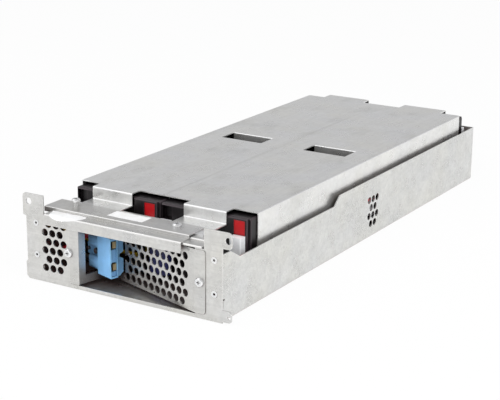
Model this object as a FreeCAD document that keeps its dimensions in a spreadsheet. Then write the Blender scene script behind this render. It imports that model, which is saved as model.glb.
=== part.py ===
"""Rack battery cartridge: eight sealed lead-acid batteries in a folded galvanised tray.

Working axes inside this file: X runs across the tray from its left outer face, Y runs back from
the front frame's front face, and Z runs up from the tray's underside. Every sub-part's Placement
then moves it so that the model's origin is the bottom centre of the whole cartridge.
"""
import FreeCAD, Part
import math
import os
import re
import Sketcher

Vector = FreeCAD.Vector
Rotation = FreeCAD.Rotation
Placement = FreeCAD.Placement

SIZES = {
    # folded tray
    "metal": 1.2,               # sheet of the tray and the front frame
    "bend": 1.5,                # outer bend radius of the heavy sheet
    "side_gap": 5.95,           # between the batteries and each side wall, where the leads run
    "rear_gap": 15.9,           # between the rear batteries and the rear wall
    "side_high": 57.9,
    "side_low": 49.6,           # the side walls dip here to clear the front batteries
    "post_end": 14.6,
    "dip_start": 28.4,
    "dip_end": 192.6,
    "rise_end": 202.6,
    "tray_lip": 13.0,           # front lips of the side walls, behind the frame
    "relief_low": 11.6,
    "relief_high": 20.0,
    "relief_deep": 2.2,         # of the slit beside each front corner, back from the frame
    "relief_hook": 4.0,         # of its upper end
    "relief_hook_high": 1.6,
    # perforations
    "hole_wide": 6.9,
    "hole_step": 8.1,
    "row_step": 8.03,
    "vent_offset": 1.1,         # first vent hole, from the start of the middle zone
    "vent_low": 13.4,
    # front frame
    "frame_left": -4.4,
    "frame_margin": 1.1,        # frame's right edge, beyond the tray
    "ear_margin": 9.9,         # right ears' tips, beyond the tray
    "ear_inner_margin": 16.5,   # from here on, margins lie inside the tray's right wall
    "ear_hole_margin": -6.6,
    "window_margin": 25.4,
    "shelf_margin": 19.0,
    "plate_margin": 38.0,
    "tab_margin": 15.1,
    "bracket_screw_margin": 20.0,
    "ear_left": -7.8,
    "ear_top": 78.4,
    "ear_left_low": 58.6,
    "ear_left_inner": 15.0,
    "ear_right_low": 64.2,
    "ear_hole_high": 71.2,
    "ear_hole_wide": 6.0,
    "ear_hole_left": -1.2,
    "ear_round": 3.2,
    "left_step_high": 17.0,
    "foot_ear_high": 11.4,
    "foot_ear_low": 1.4,
    "foot_ear_hole": 3.2,
    "foot_hole_margin": -7.3,
    "window_left": 51.8,
    "window_low": 3.5,
    "shelf_high": 62.2,         # top of the frame's shelf
    "pad_high": 63.9,           # top of the raised pad behind the shelf
    "pad_front": 11.2,          # front of the riser between shelf and pad
    "pad_back": 33.6,
    "shelf_left": 17.4,
    "grid_left": 15.9,          # first hole of the left grid
    "grid_low": 13.6,
    "rivet_inset": 6.6,
    "rivet_low": 24.0,
    "rivet_high": 53.0,
    # top plate
    "plate_metal": 1.0,
    "plate_bend": 1.5,
    "plate_left": 7.8,
    "plate_back": 34.6,
    "band_left": 17.0,
    "band_low": 53.6,
    "plate_screw_left": 31.4,
    "plate_screw_right": 137.6,
    "plate_screw_back": 24.6,
    # connector bracket
    "bracket_metal": 1.0,
    "bracket_low": 4.9,
    "bracket_high": 59.4,
    "tab_left": 42.4,
    "corner_across": 60.2,
    "corner_back": 34.8,
    "bracket_screw_high": 32.2,
    "bracket_screw_left": 42.6,
    "wall_hole_step": 8.4,
    "wall_grid_start": 25.8,    # along the slanted wall, from its back corner
    "wall_grid_low": 10.6,
    "opening_low": 12.2,
    "opening_high": 56.0,
    "opening_front": 8.0,
    "slot_start": 13.0,         # slot in the slanted wall beside the mating face
    "slot_end": 22.9,
    "mount_long": 22.0,         # tab that carries the connector, behind the side opening
    # two-pole connector
    "housing_long": 41.5,
    "barrel_long": 36.0,
    "housing_high": 36.5,
    "housing_thick": 15.8,
    "hood_long": 18.7,
    "barrel_wide": 11.8,
    "pole_step": 19.9,
    "mating_at": 23.2,  # mating face, along the slanted wall from its back corner
    "hood_chamfer": 3.4,
    "barrel_low": 3.5,
    "pole_drop": 0.6,           # of the barrels below the hood's middle
    "web_thick": 10.0,
    "web_lap": 1.0,             # of the web into each barrel
    "web_screw": 27.8,
    "cavity_low": 5.6,
    "cavity_high": 8.4,
    "cavity_wall": 0.7,
    "recess_wall": 1.4,
    "hood_floor": 3.0,          # behind the cavities
    "hood_round": 0.6,
    "notch_wide": 6.8,
    "notch_narrow": 2.0,
    "notch_high": 5.0,
    "notch_deep": 5.0,
    "contact_thick": 3.8,
    "contact_back": 1.2,        # behind the mating face
    "contact_gap": 1.3,         # above and below a contact
    "screw_step": 11.2,  # between the two mounting screws, along the housing
    "mating_step": 3.0,  # how far the half of the mating face next to the wall lies back
    "connector_head": 5.0,
    "small_head": 3.2,
    "connector_crown": 2.0,
    "connector_shank": 3.4,
    "housing_low": 10.8,
    "housing_gap": 0.2,
    "barrel_bore": 8.0,
    # leads
    "lead_wide": 3.6,
    "main_lead_wide": 5.0,
    "lead_bend": 7.0,
    "fuse_wide": 19.0,
    "fuse_high": 22.0,
    "fuse_thick": 8.0,
    "fuse_round": 2.4,
    "fuse_collar": 0.5,
    "fuse_across": 97.0,  # left side, front and lower end of the fuse holder
    "fuse_back": 40.5,
    "fuse_low": 12.5,
    "lead_seat": 7.0,           # how far a lead runs into its sleeve
    # screws and rivets
    "screw_head": 8.0,
    "screw_crown": 2.6,
    "screw_shank": 3.9,
    "screw_grip": 5.0,
    "screw_stand": 4.2,         # of the plate's left screw, which stands on a collar
    "screw_collar": 5.2,
    "rivet_head": 5.6,
    "rivet_crown": 0.35,
    "rivet_shank": 3.6,
    "rivet_bore": 2.2,
    # battery cover
    "cover_metal": 1.0,
    "cover_bend": 1.4,
    "cover_gap": 0.55,          # between the cover's skirts and the batteries
    "cover_lift": 3.5,  # of the cover's top above the batteries
    "front_notch": 8.6,  # from the front batteries' faces back to the cover's edge
    "front_flange": 3.5,
    "rear_notch": 12.1,
    "rear_flange": 3.6,
    "finger_start": 4.2,        # from the start of the middle zone
    "finger_end": 2.0,          # from its end
    "cover_skirt": 44.0,
    "foot_high": 64.9,
    "foot_front": 18.6,
    "front_tab_left": 27.2,
    "front_tab_right": 124.6,
    "front_tab_wide": 42.8,
    "back_tab_left": 25.9,
    "back_tab_right": 120.0,
    "back_tab_wide": 49.0,
    "finger_left": 27.4,
    "finger_right": 121.3,
    "finger_wide": 46.4,
    "finger_flap": 11.0,
    # sealed batteries
    "battery_wide": 91.0,
    "battery_deep": 102.0,
    "battery_thick": 71.2,
    "battery_gap": 0.3,
    "middle_zone": 30.7,        # between the inner rows, where their terminals face each other
    "battery_front": 57.6,
    "case_inset": 0.5,
    "case_round": 2.4,
    "lid_deep": 15.0,
    "block_wide": 24.6,
    "block_high": 44.0,
    "block_proud": 2.4,
    "block_round": 1.6,
    "block_below": 0.4,         # block's top, below the lid's
    "block_inset": 2.6,
    "minus_inset": 1.2,
    "mark_wide": 11.2,
    "mark_high": 13.1,
    "mark_margin": 2.2,         # from the mark to the block's outer edge
    "mark_top": 2.0,
    "mark_deep": 3.0,
    "mark_sunk": 0.6,
    "pocket_wide": 10.6,
    "pocket_high": 12.4,
    "pocket_deep": 5.0,
    "pocket_margin": 0.8,
    "pocket_top": 1.2,
    "sleeve_high": 20.0,
    "sleeve_deep": 7.4,
    "sleeve_wide": 11.6,
    "sleeve_round": 1.2,
    "sleeve_shift": 1.0,        # of the minus sleeve's left edge, from its pocket's
    "blade_wide": 6.3,
    "blade_thick": 0.8,
    "blade_long": 6.0,
    "blade_up": 8.0,            # above the sleeve's lower end
}

doc = FreeCAD.newDocument("battery_cartridge")
sheet = doc.addObject("Spreadsheet::Sheet", "dims")
for row, (alias, value) in enumerate(SIZES.items(), start=1):
    sheet.set(f"A{row}", alias)
    sheet.set(f"B{row}", str(value))
    sheet.setAlias(f"B{row}", alias)
doc.recompute()

# sizes that follow from the ones above
DERIVED = {
    "tray_wide": "metal * 2 + battery_wide * 2 + battery_gap * 3 + side_gap * 2",
    "frame_right": "tray_wide + frame_margin",
    "ear_right": "tray_wide + ear_margin",
    "ear_right_inner": "tray_wide - ear_inner_margin",
    "ear_hole_right": "tray_wide - ear_hole_margin",
    "window_right": "tray_wide - window_margin",
    "shelf_right": "tray_wide - shelf_margin",
    "plate_right": "tray_wide - plate_margin",
    "tab_right": "tray_wide - tab_margin",
    "bracket_screw_right": "tray_wide - bracket_screw_margin",
    "middle_start": "battery_front + battery_deep * 2 + battery_gap",
    "middle_end": "middle_start + middle_zone",
    "battery_rear": "middle_end + battery_deep * 2 + battery_gap",
    "overall_long": "battery_rear + rear_gap + metal",
    "cover_wide": "battery_wide * 2 + battery_gap * 3 + cover_gap * 2 + cover_metal * 2",
    "cover_high": "metal + battery_thick + cover_lift",
    "cover_front": "battery_front + front_notch",
    "flange_front": "battery_front - front_flange",
    "cover_back": "battery_rear - rear_notch",
    "flange_back": "battery_rear + rear_flange",
    "finger_front": "middle_start + finger_start",
    "finger_back": "middle_end - finger_end",
    "vent_start": "middle_start + vent_offset",
}
DERIVED_WORD = re.compile(r"\b(" + "|".join(sorted(DERIVED, key=len, reverse=True)) + r")\b")
WORD = re.compile(r"\b(" + "|".join(sorted(SIZES, key=len, reverse=True)) + r")\b")
MODEL_X = "(ear_left + ear_right) / 2"
MODEL_Y = "(overall_long - bracket_metal - screw_crown) / 2"
parts = {}


# ---------------------------------------------------------------- helpers
def bound(text):
    """Turn a formula in sizes and derived sizes into an expression on the sheet."""
    text = str(text)
    while DERIVED_WORD.search(text):
        text = DERIVED_WORD.sub(lambda found: f"({DERIVED[found[1]]})", text)
    return WORD.sub(r"dims.\1", text)


def size(text):
    """The number that a formula in the sheet's words gives."""
    return float(sheet.evalExpression(bound(text)))


def bind(thing, prop, text):
    thing.setExpression(prop, bound(text))


def place(thing, x="0", y="0", z="0", turn=None):
    """Bind a thing's place, measured in the working axes, to the sheet."""
    if turn:
        thing.Placement = Placement(Vector(), turn)
    bind(thing, "Placement.Base.x", f"({x}) - {MODEL_X}")
    bind(thing, "Placement.Base.y", f"({y}) - {MODEL_Y}")
    bind(thing, "Placement.Base.z", z)


def keep(name, thing, x="0", y="0", z="0", turn=None):
    """Name a finished sub-part and move it into the model's frame."""
    thing.Label = name
    place(thing, x, y, z, turn)
    parts[name] = thing
    return thing


def new_body(name):
    return doc.addObject("PartDesign::Body", name + "_body")


NORMAL = {"XY": 1, "XZ": -1, "YZ": 1}


def sketch(body, plane, offset, loops=(), circles=()):
    """A fully bound sketch of straight-sided loops and circles on one of the body's planes.

    offset is where the plane lies along its own axis. A loop is a list of corner formulas and a
    circle is (across, up, radius).
    """
    drawn = body.newObject("Sketcher::SketchObject", "Sketch")
    role = plane + "_Plane"
    base = [f for f in body.Origin.OriginFeatures if f.Role == role][0]
    drawn.AttachmentSupport = [(base, "")]
    drawn.MapMode = "FlatFace"
    sign = "" if NORMAL[plane] > 0 else "-"
    bind(drawn, "AttachmentOffset.Base.z", f"{sign}({offset})")
    draw_loops(drawn, loops, circles)
    return drawn


def draw_loops(drawn, loops, circles):
    """Draw closed loops and circles, each corner and centre bound to the sheet."""
    for corners in loops:
        first = drawn.GeometryCount
        spots = [Vector(size(across), size(up), 0) for across, up in corners]
        for start, end in zip(spots, spots[1:] + spots[:1]):
            drawn.addGeometry(Part.LineSegment(start, end))
        for index in range(len(corners)):
            after = first + (index + 1) % len(corners)
            drawn.addConstraint(Sketcher.Constraint("Coincident", first + index, 2, after, 1))
        for index, (across, up) in enumerate(corners):
            pin(drawn, first + index, 1, across, up)
    for across, up, radius in circles:
        centre = Vector(size(across), size(up), 0)
        ring = drawn.addGeometry(Part.Circle(centre, Vector(0, 0, 1), size(radius)))
        pin(drawn, ring, 3, across, up)
        made = drawn.addConstraint(Sketcher.Constraint("Radius", ring, size(radius)))
        bind(drawn, f"Constraints[{made}]", radius)


def pin(drawn, geometry, point, across, up):
    """Hold one point of a sketch at two bound distances from its origin."""
    for kind, text in (("DistanceX", across), ("DistanceY", up)):
        made = drawn.addConstraint(Sketcher.Constraint(kind, -1, 1, geometry, point, size(text)))
        bind(drawn, f"Constraints[{made}]", text)


def rectangle(left, right, low, high):
    return [(left, low), (right, low), (right, high), (left, high)]


def pad(body, drawn, plane, length, forward=True):
    made = body.newObject("PartDesign::Pad", "Pad")
    made.Profile = drawn
    made.Reversed = (NORMAL[plane] > 0) != forward
    bind(made, "Length", length)
    return made


def pocket(body, drawn, plane, length, forward=True):
    made = body.newObject("PartDesign::Pocket", "Pocket")
    made.Profile = drawn
    made.Reversed = (NORMAL[plane] > 0) == forward
    bind(made, "Length", length)
    return made


def straight_edges(shape, axis, test):
    """Names of the straight edges along an axis, or along any, whose middle passes a test."""
    names = []
    for number, edge in enumerate(shape.Edges, start=1):
        if edge.Curve.TypeId != "Part::GeomLine":
            continue
        run = edge.Vertexes[-1].Point - edge.Vertexes[0].Point
        along = axis is None or abs(run.normalize().dot(axis)) > 0.999
        if along and test(edge.CenterOfMass):
            names.append(f"Edge{number}")
    return names


def round_edges(body, radius, axis, test, kind="Fillet"):
    """Fillet or chamfer the straight edges of a body along an axis that pass a test."""
    doc.recompute()
    tip = body.Tip
    made = body.newObject("PartDesign::" + kind, kind)
    made.Base = (tip, straight_edges(tip.Shape, axis, test))
    bind(made, "Radius" if kind == "Fillet" else "Size", radius)
    return made


def near(value, text):
    return abs(value - size(text)) < 0.01


ALONG_X = Vector(1, 0, 0)
ALONG_Y = Vector(0, 1, 0)
ALONG_Z = Vector(0, 0, 1)


def holes(body, plane, offset, depth, spots, forward=True):
    """Cut a row of round holes, then repeat it upwards every second row."""
    cut = []
    for rows, ring in spots:
        drawn = sketch(body, plane, offset, circles=ring)
        row = pocket(body, drawn, plane, depth, forward)
        doc.recompute()
        pattern = body.newObject("PartDesign::LinearPattern", "Rows")
        pattern.Originals = [row]
        pattern.Direction = (drawn, ["V_Axis"])
        pattern.Occurrences = rows
        bind(pattern, "Length", f"row_step * 2 * {rows - 1}")
        body.Tip = pattern
        cut.append(pattern)
    return cut


# ---------------------------------------------------------------- folded tray
def tray():
    body = new_body("tray")
    inner = "tray_wide - metal"
    front = "metal"
    back = "overall_long"
    section = [("0", "0"), ("tray_wide", "0"), ("tray_wide", "side_high"),
               (inner, "side_high"), (inner, "metal"), ("metal", "metal"),
               ("metal", "side_high"), ("0", "side_high")]
    pad(body, sketch(body, "XZ", front, [section]), "XZ", f"{back} - metal")
    rear = rectangle("metal / 2", "tray_wide - metal / 2", "metal / 2", "side_high")
    pad(body, sketch(body, "XZ", f"{back} - metal", [rear]), "XZ", "metal")
    lips = [rectangle("metal / 2", "tray_lip", "bend", "side_high"),
            rectangle("tray_wide - tray_lip", "tray_wide - metal / 2", "bend", "side_high")]
    pad(body, sketch(body, "XZ", front, lips), "XZ", "metal")

    def folds(spot):
        return near(spot.z, "0") and (near(spot.x, "0") or near(spot.x, "tray_wide"))
    round_edges(body, "bend", ALONG_Y, folds)
    round_edges(body, "bend", ALONG_X, lambda spot: near(spot.z, "0") and near(spot.y, back))

    dip = [("post_end", "side_high + 1"), ("post_end", "side_high"), ("dip_start", "side_low"),
           ("dip_end", "side_low"), ("rise_end", "side_high"), ("rise_end", "side_high + 1")]
    pocket(body, sketch(body, "YZ", "tray_wide", [dip]), "YZ", "tray_wide", forward=False)
    relief = [("metal", "relief_low"), ("metal + relief_deep", "relief_low"),
              ("metal + relief_deep", "relief_high - relief_hook_high"),
              ("metal + relief_hook", "relief_high - relief_hook_high"),
              ("metal + relief_hook", "relief_high"), ("metal", "relief_high")]
    pocket(body, sketch(body, "YZ", "tray_wide", [relief]), "YZ", "metal * 2", forward=False)
    for start, depth in (("tray_wide", "metal"), ("metal", "metal")):
        three = [(f"vent_start + hole_step * {step}", "vent_low + row_step", "hole_wide / 2")
                 for step in range(3)]
        two = [(f"vent_start + hole_step * ({step} + 0.5)", "vent_low", "hole_wide / 2")
               for step in range(2)]
        holes(body, "YZ", start, depth, [(2, three), (2, two)], forward=False)
    rings = [(across, up, "rivet_shank / 2")
             for across in ("rivet_inset", "tray_wide - rivet_inset")
             for up in ("rivet_low", "rivet_high")]
    pocket(body, sketch(body, "XZ", "metal", circles=rings), "XZ", "metal")
    keep("tray", body)


# ---------------------------------------------------------------- front frame
def front_frame():
    body = new_body("front_frame")
    brow = "shelf_high - bend - 0.1"
    outline = [("frame_left + 1.5", "0"), ("frame_right", "0"), ("frame_right", "foot_ear_low"),
               ("ear_right", "foot_ear_low"), ("ear_right", "foot_ear_high"),
               ("frame_right", "foot_ear_high"), ("frame_right", "ear_right_low"),
               ("ear_right", "ear_right_low"), ("ear_right", "ear_top"),
               ("ear_right_inner", "ear_top"), ("ear_right_inner", brow),
               ("window_right", brow), ("window_right", "window_low"),
               ("window_left", "window_low"), ("window_left", brow),
               ("ear_left_inner", brow), ("ear_left_inner", "ear_top"),
               ("ear_left", "ear_top"), ("ear_left", "ear_left_low"),
               ("frame_left", "ear_left_low - 1"), ("frame_left", "left_step_high"),
               ("frame_left - 1.6", "left_step_high - 1.4"),
               ("frame_left - 1.6", "foot_ear_low + 1.2"), ("frame_left", "foot_ear_low")]
    pad(body, sketch(body, "XZ", "0", [outline]), "XZ", "metal")

    top = [("0", brow), ("metal", brow),
           ("metal", "shelf_high - metal"), ("pad_front + metal", "shelf_high - metal"),
           ("pad_front + metal", "pad_high - metal"), ("pad_back", "pad_high - metal"),
           ("pad_back", "pad_high"), ("pad_front", "pad_high"), ("pad_front", "shelf_high"),
           ("0", "shelf_high")]
    pad(body, sketch(body, "YZ", "shelf_left", [top]), "YZ", "shelf_right - shelf_left")

    def shelf_fold(spot):
        return near(spot.z, "shelf_high") and near(spot.y, "0")
    round_edges(body, "bend", ALONG_X, shelf_fold)
    round_edges(body, "plate_bend", ALONG_X,
                lambda spot: near(spot.z, "pad_high") and near(spot.y, "pad_front"))

    def ear_corners(spot):
        return near(spot.x, "ear_right") or (near(spot.x, "ear_left") and near(spot.z, "ear_top"))
    round_edges(body, "ear_round", ALONG_Y, ear_corners)

    round_holes = [("ear_hole_left", "ear_hole_high", "ear_hole_wide / 2"),
                   ("ear_hole_right", "ear_hole_high", "ear_hole_wide / 2"),
                   ("tray_wide - foot_hole_margin", "foot_ear_high / 2 + 0.2", "foot_ear_hole / 2")]
    for across in ("rivet_inset", "tray_wide - rivet_inset"):
        round_holes += [(across, "rivet_low", "rivet_shank / 2"),
                        (across, "rivet_high", "rivet_shank / 2")]
    for across in ("bracket_screw_left", "bracket_screw_right"):
        round_holes.append((across, "bracket_screw_high", "screw_shank / 2"))
    pocket(body, sketch(body, "XZ", "0", circles=round_holes), "XZ", "metal")

    even = [(f"grid_left + hole_step * {step}", "grid_low", "hole_wide / 2") for step in range(3)]
    odd = [(f"grid_left + hole_step * ({step} + 0.5)", "grid_low + row_step", "hole_wide / 2")
           for step in range(3)]
    holes(body, "XZ", "0", "metal", [(3, even), (3, odd)])
    taps = [(across, "plate_screw_back", "screw_shank / 2")
            for across in ("plate_screw_left", "plate_screw_right")]
    pocket(body, sketch(body, "XY", "pad_high", circles=taps), "XY", "metal", forward=False)
    keep("front_frame", body)


# ---------------------------------------------------------------- top plate
def top_plate():
    """One sheet: a flat held by two screws, a step down, a shelf and a band over the frame."""
    body = new_body("top_plate")
    low = "shelf_high"
    flat = "foot_high"
    nose = "-(bracket_metal + plate_metal + 0.2)"
    section = [("plate_back", flat), ("plate_back", f"{flat} + plate_metal"),
               ("pad_front - plate_metal", f"{flat} + plate_metal"),
               ("pad_front - plate_metal", f"{low} + plate_metal"), (nose, f"{low} + plate_metal"),
               (nose, "band_low"), (f"{nose} + plate_metal", "band_low"),
               (f"{nose} + plate_metal", low), ("pad_front", low), ("pad_front", flat)]
    pad(body, sketch(body, "YZ", "band_left", [section]), "YZ", "plate_right - band_left")
    end = [("plate_back", flat), ("plate_back", f"{flat} + plate_metal"),
           ("pad_front - plate_metal", f"{flat} + plate_metal"),
           ("pad_front - plate_metal", f"{low} - 1"), ("pad_front", f"{low} - 1"),
           ("pad_front", flat)]
    pad(body, sketch(body, "YZ", "plate_left", [end]), "YZ", "band_left - plate_left")

    def folds(spot):
        return near(spot.z, f"{low} + plate_metal") and near(spot.y, nose)
    round_edges(body, "plate_bend", ALONG_X, folds)

    def step(spot):
        return near(spot.z, f"{flat} + plate_metal") and near(spot.y, "pad_front - plate_metal")
    round_edges(body, "plate_metal * 0.8", ALONG_X, step)
    taps = [(across, "plate_screw_back", "screw_shank / 2")
            for across in ("plate_screw_left", "plate_screw_right")]
    pocket(body, sketch(body, "XY", f"{flat} + plate_metal", circles=taps), "XY",
           "plate_metal", forward=False)
    keep("top_plate", body)


# ---------------------------------------------------------------- Part helpers
def part_box(x, y, z, long, deep, high):
    """A box whose corner and sides are bound to the sheet."""
    made = doc.addObject("Part::Box", "Box")
    for prop, text in (("Length", long), ("Width", deep), ("Height", high),
                       ("Placement.Base.x", x), ("Placement.Base.y", y), ("Placement.Base.z", z)):
        bind(made, prop, text)
    return made


def part_rod(radius, long, z="0"):
    """A cylinder that stands on the local origin."""
    made = doc.addObject("Part::Cylinder", "Rod")
    for prop, text in (("Radius", radius), ("Height", long), ("Placement.Base.z", z)):
        bind(made, prop, text)
    return made


def fused(pieces):
    made = doc.addObject("Part::MultiFuse", "Fusion")
    made.Shapes = pieces
    return made


def cut(base, tools):
    made = doc.addObject("Part::Cut", "Cut")
    made.Base = base
    made.Tool = fused(tools) if len(tools) > 1 else tools[0]
    return made


def grouped(pieces):
    made = doc.addObject("Part::Compound", "Group")
    made.Links = pieces
    return made


def part_round(base, radius, edges):
    """A fillet on numbered edges, each with the radius that a formula gives."""
    made = doc.addObject("Part::Fillet", "Round")
    made.Base = base
    made.Edges = [(int(name[4:]), size(radius), size(radius)) for name in edges]
    return made


def seat(thing, x, y, z, turn=None):
    """Put a loose piece of a group at a bound place in the working axes."""
    if turn:
        thing.Placement = Placement(Vector(), turn)
    for prop, text in (("x", x), ("y", y), ("z", z)):
        bind(thing, "Placement.Base." + prop, text)
    return thing


FACING_FRONT = Rotation(Vector(1, 0, 0), 90)


def pan_screw(x, y, z, turn=None, stand="0"):
    """A cross-recessed pan-head screw on a seat, or on a collar that stands on that seat."""
    blank = part_rod("screw_head / 2", "screw_crown")
    doc.recompute()
    rim = [f"Edge{number}" for number, edge in enumerate(blank.Shape.Edges, start=1)
           if edge.Curve.TypeId == "Part::GeomCircle" and edge.CenterOfMass.z > 0.1]
    crown = part_round(blank, "screw_crown * 0.6", rim)
    slot = "screw_head * 0.45"
    slots = []
    for long, deep in ((slot, "screw_head * 0.1"), ("screw_head * 0.1", slot)):
        slots.append(part_box(f"-({long}) / 2", f"-({deep}) / 2", "screw_crown * 0.45",
                              long, deep, "screw_crown"))
    shank = part_rod("screw_shank / 2", f"screw_grip + {stand} + 0.2", f"-screw_grip - {stand}")
    pieces = [cut(crown, slots), shank]
    if stand != "0":
        pieces.append(part_rod("screw_collar / 2", f"{stand} + 0.2", f"-{stand}"))
    return seat(fused(pieces), x, y, f"{z} + {stand}", turn)


def rivet(x, z):
    """A low-headed blind rivet through the frame and the tray's lip."""
    head = part_rod("rivet_head / 2", "rivet_crown")
    shank = part_rod("rivet_shank / 2", "metal * 2 + 0.1", "-(metal * 2)")
    bore = part_rod("rivet_bore / 2", "metal * 2 + rivet_crown + 2", "-(metal * 2 + 1)")
    return seat(cut(fused([head, shank]), [bore]), x, "0", z, FACING_FRONT)


# ---------------------------------------------------------------- connector bracket
def wall_turn():
    """Axes of the slanted wall: along it, up, and out of its front face."""
    along = Vector(size("window_right - corner_across"), -size("corner_back"), 0).normalize()
    return Rotation(along, ALONG_Z, along.cross(ALONG_Z), "XYZ")


def wall_place(along="0", up="0", out="0"):
    """A point in the slanted wall's axes, as three formulas in the working axes."""
    run = "(window_right - corner_across)"
    slant = f"sqrt({run} ^ 2 + corner_back ^ 2)"
    x = f"corner_across + (({along}) * {run} - ({out}) * corner_back) / {slant}"
    y = f"corner_back - (({along}) * corner_back + ({out}) * {run}) / {slant}"
    return x, y, up


def connector_bracket():
    """One folded sheet: a tab, a short wall, a long perforated wall and another tab."""
    path = doc.addObject("Sketcher::SketchObject", "BracketPath")
    corners = [("tab_left", "0"), ("window_left", "0"), ("corner_across", "corner_back"),
               ("window_right", "0"), ("tab_right", "0")]
    spots = [Vector(size(across), size(up), 0) for across, up in corners]
    for start, end in zip(spots, spots[1:]):
        path.addGeometry(Part.LineSegment(start, end))
    for index in range(len(corners) - 2):
        path.addConstraint(Sketcher.Constraint("Coincident", index, 2, index + 1, 1))
    for index, (across, up) in enumerate(corners[:-1]):
        pin(path, index, 1, across, up)
    pin(path, len(corners) - 2, 2, *corners[-1])
    bind(path, "Placement.Base.z", "bracket_low")

    section = doc.addObject("Part::Offset2D", "BracketSection")
    section.Source = path
    section.Mode = "Skin"
    section.Join = "Arc"
    section.Fill = True
    bind(section, "Value", "bracket_metal")
    folded = doc.addObject("Part::Extrusion", "BracketSheet")
    folded.Base = section
    folded.DirMode = "Custom"
    folded.Dir = ALONG_Z
    folded.Solid = True
    bind(folded, "LengthFwd", "bracket_high - bracket_low")
    doc.recompute()

    def tab_corners(spot):
        ends = near(spot.x, "tab_left") or near(spot.x, "tab_right")
        return ends and (near(spot.z, "bracket_low") or near(spot.z, "bracket_high"))
    rounded = part_round(folded, "2.4", straight_edges(folded.Shape, ALONG_Y, tab_corners))

    turn = wall_turn()
    side_run = Vector(size("corner_across - window_left"), size("corner_back"), 0)
    opening = part_box("0", "0", "opening_low", "10", "1", "opening_high - opening_low")
    bind(opening, "Width", "sqrt((corner_across - window_left) ^ 2 + corner_back ^ 2)"
         " - opening_front")
    side_turn = Rotation(ALONG_Y, side_run)
    opening.Placement = Placement(Vector(), side_turn)
    share = "(opening_front / sqrt((corner_across - window_left) ^ 2 + corner_back ^ 2))"
    seat(opening, f"window_left + (corner_across - window_left) * {share} - 5",
         f"corner_back * {share}", "opening_low", side_turn)

    slot = part_box("0", "0", "0", "slot_end - slot_start", "opening_high - opening_low",
                    "bracket_metal * 4")
    seat(slot, *wall_place("slot_start", "opening_low", "-bracket_metal * 2"), turn)
    grid = doc.addObject("Sketcher::SketchObject", "WallGrid")
    rings = []
    for row in range(6):
        for step in range(10):
            along = f"wall_grid_start + wall_hole_step * {step + (row % 2) / 2}"
            rings.append((along, f"wall_grid_low + row_step * {row}", "hole_wide / 2"))
    draw_loops(grid, [], rings)
    seat(grid, *wall_place(), turn)
    punches = doc.addObject("Part::Extrusion", "WallPunches")
    punches.Base = grid
    punches.DirMode = "Normal"
    punches.Solid = True
    bind(punches, "LengthFwd", "bracket_metal * 2")
    bind(punches, "LengthRev", "bracket_metal")

    mount = part_box("0", "0", "0", "mount_long + 6", "opening_high - opening_low - 2",
                     "bracket_metal")
    seat(mount, *wall_place("-mount_long", "opening_low + 1"), turn)
    bores = []
    for across in ("bracket_screw_left", "bracket_screw_right"):
        bore = part_rod("screw_shank / 2 + 0.1", "bracket_metal * 4")
        bores.append(seat(bore, across, "bracket_metal", "bracket_screw_high", FACING_FRONT))
    for along in CONNECTOR_SCREWS:
        bore = part_rod("connector_shank / 2", "bracket_metal * 4")
        bores.append(seat(bore, *wall_place(f"mating_at - ({along})", CONNECTOR_MIDDLE,
                                            "-bracket_metal"), turn))
    pierced = cut(fused([cut(rounded, [opening]), mount]), [slot, punches] + bores)
    keep("connector_bracket", pierced)


# ---------------------------------------------------------------- two-pole connector
CONNECTOR_SCREWS = ("web_screw", "web_screw + screw_step")
POLE_MIDDLE = "housing_high / 2 - pole_drop"
CONNECTOR_MIDDLE = f"housing_low + {POLE_MIDDLE}"


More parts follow.
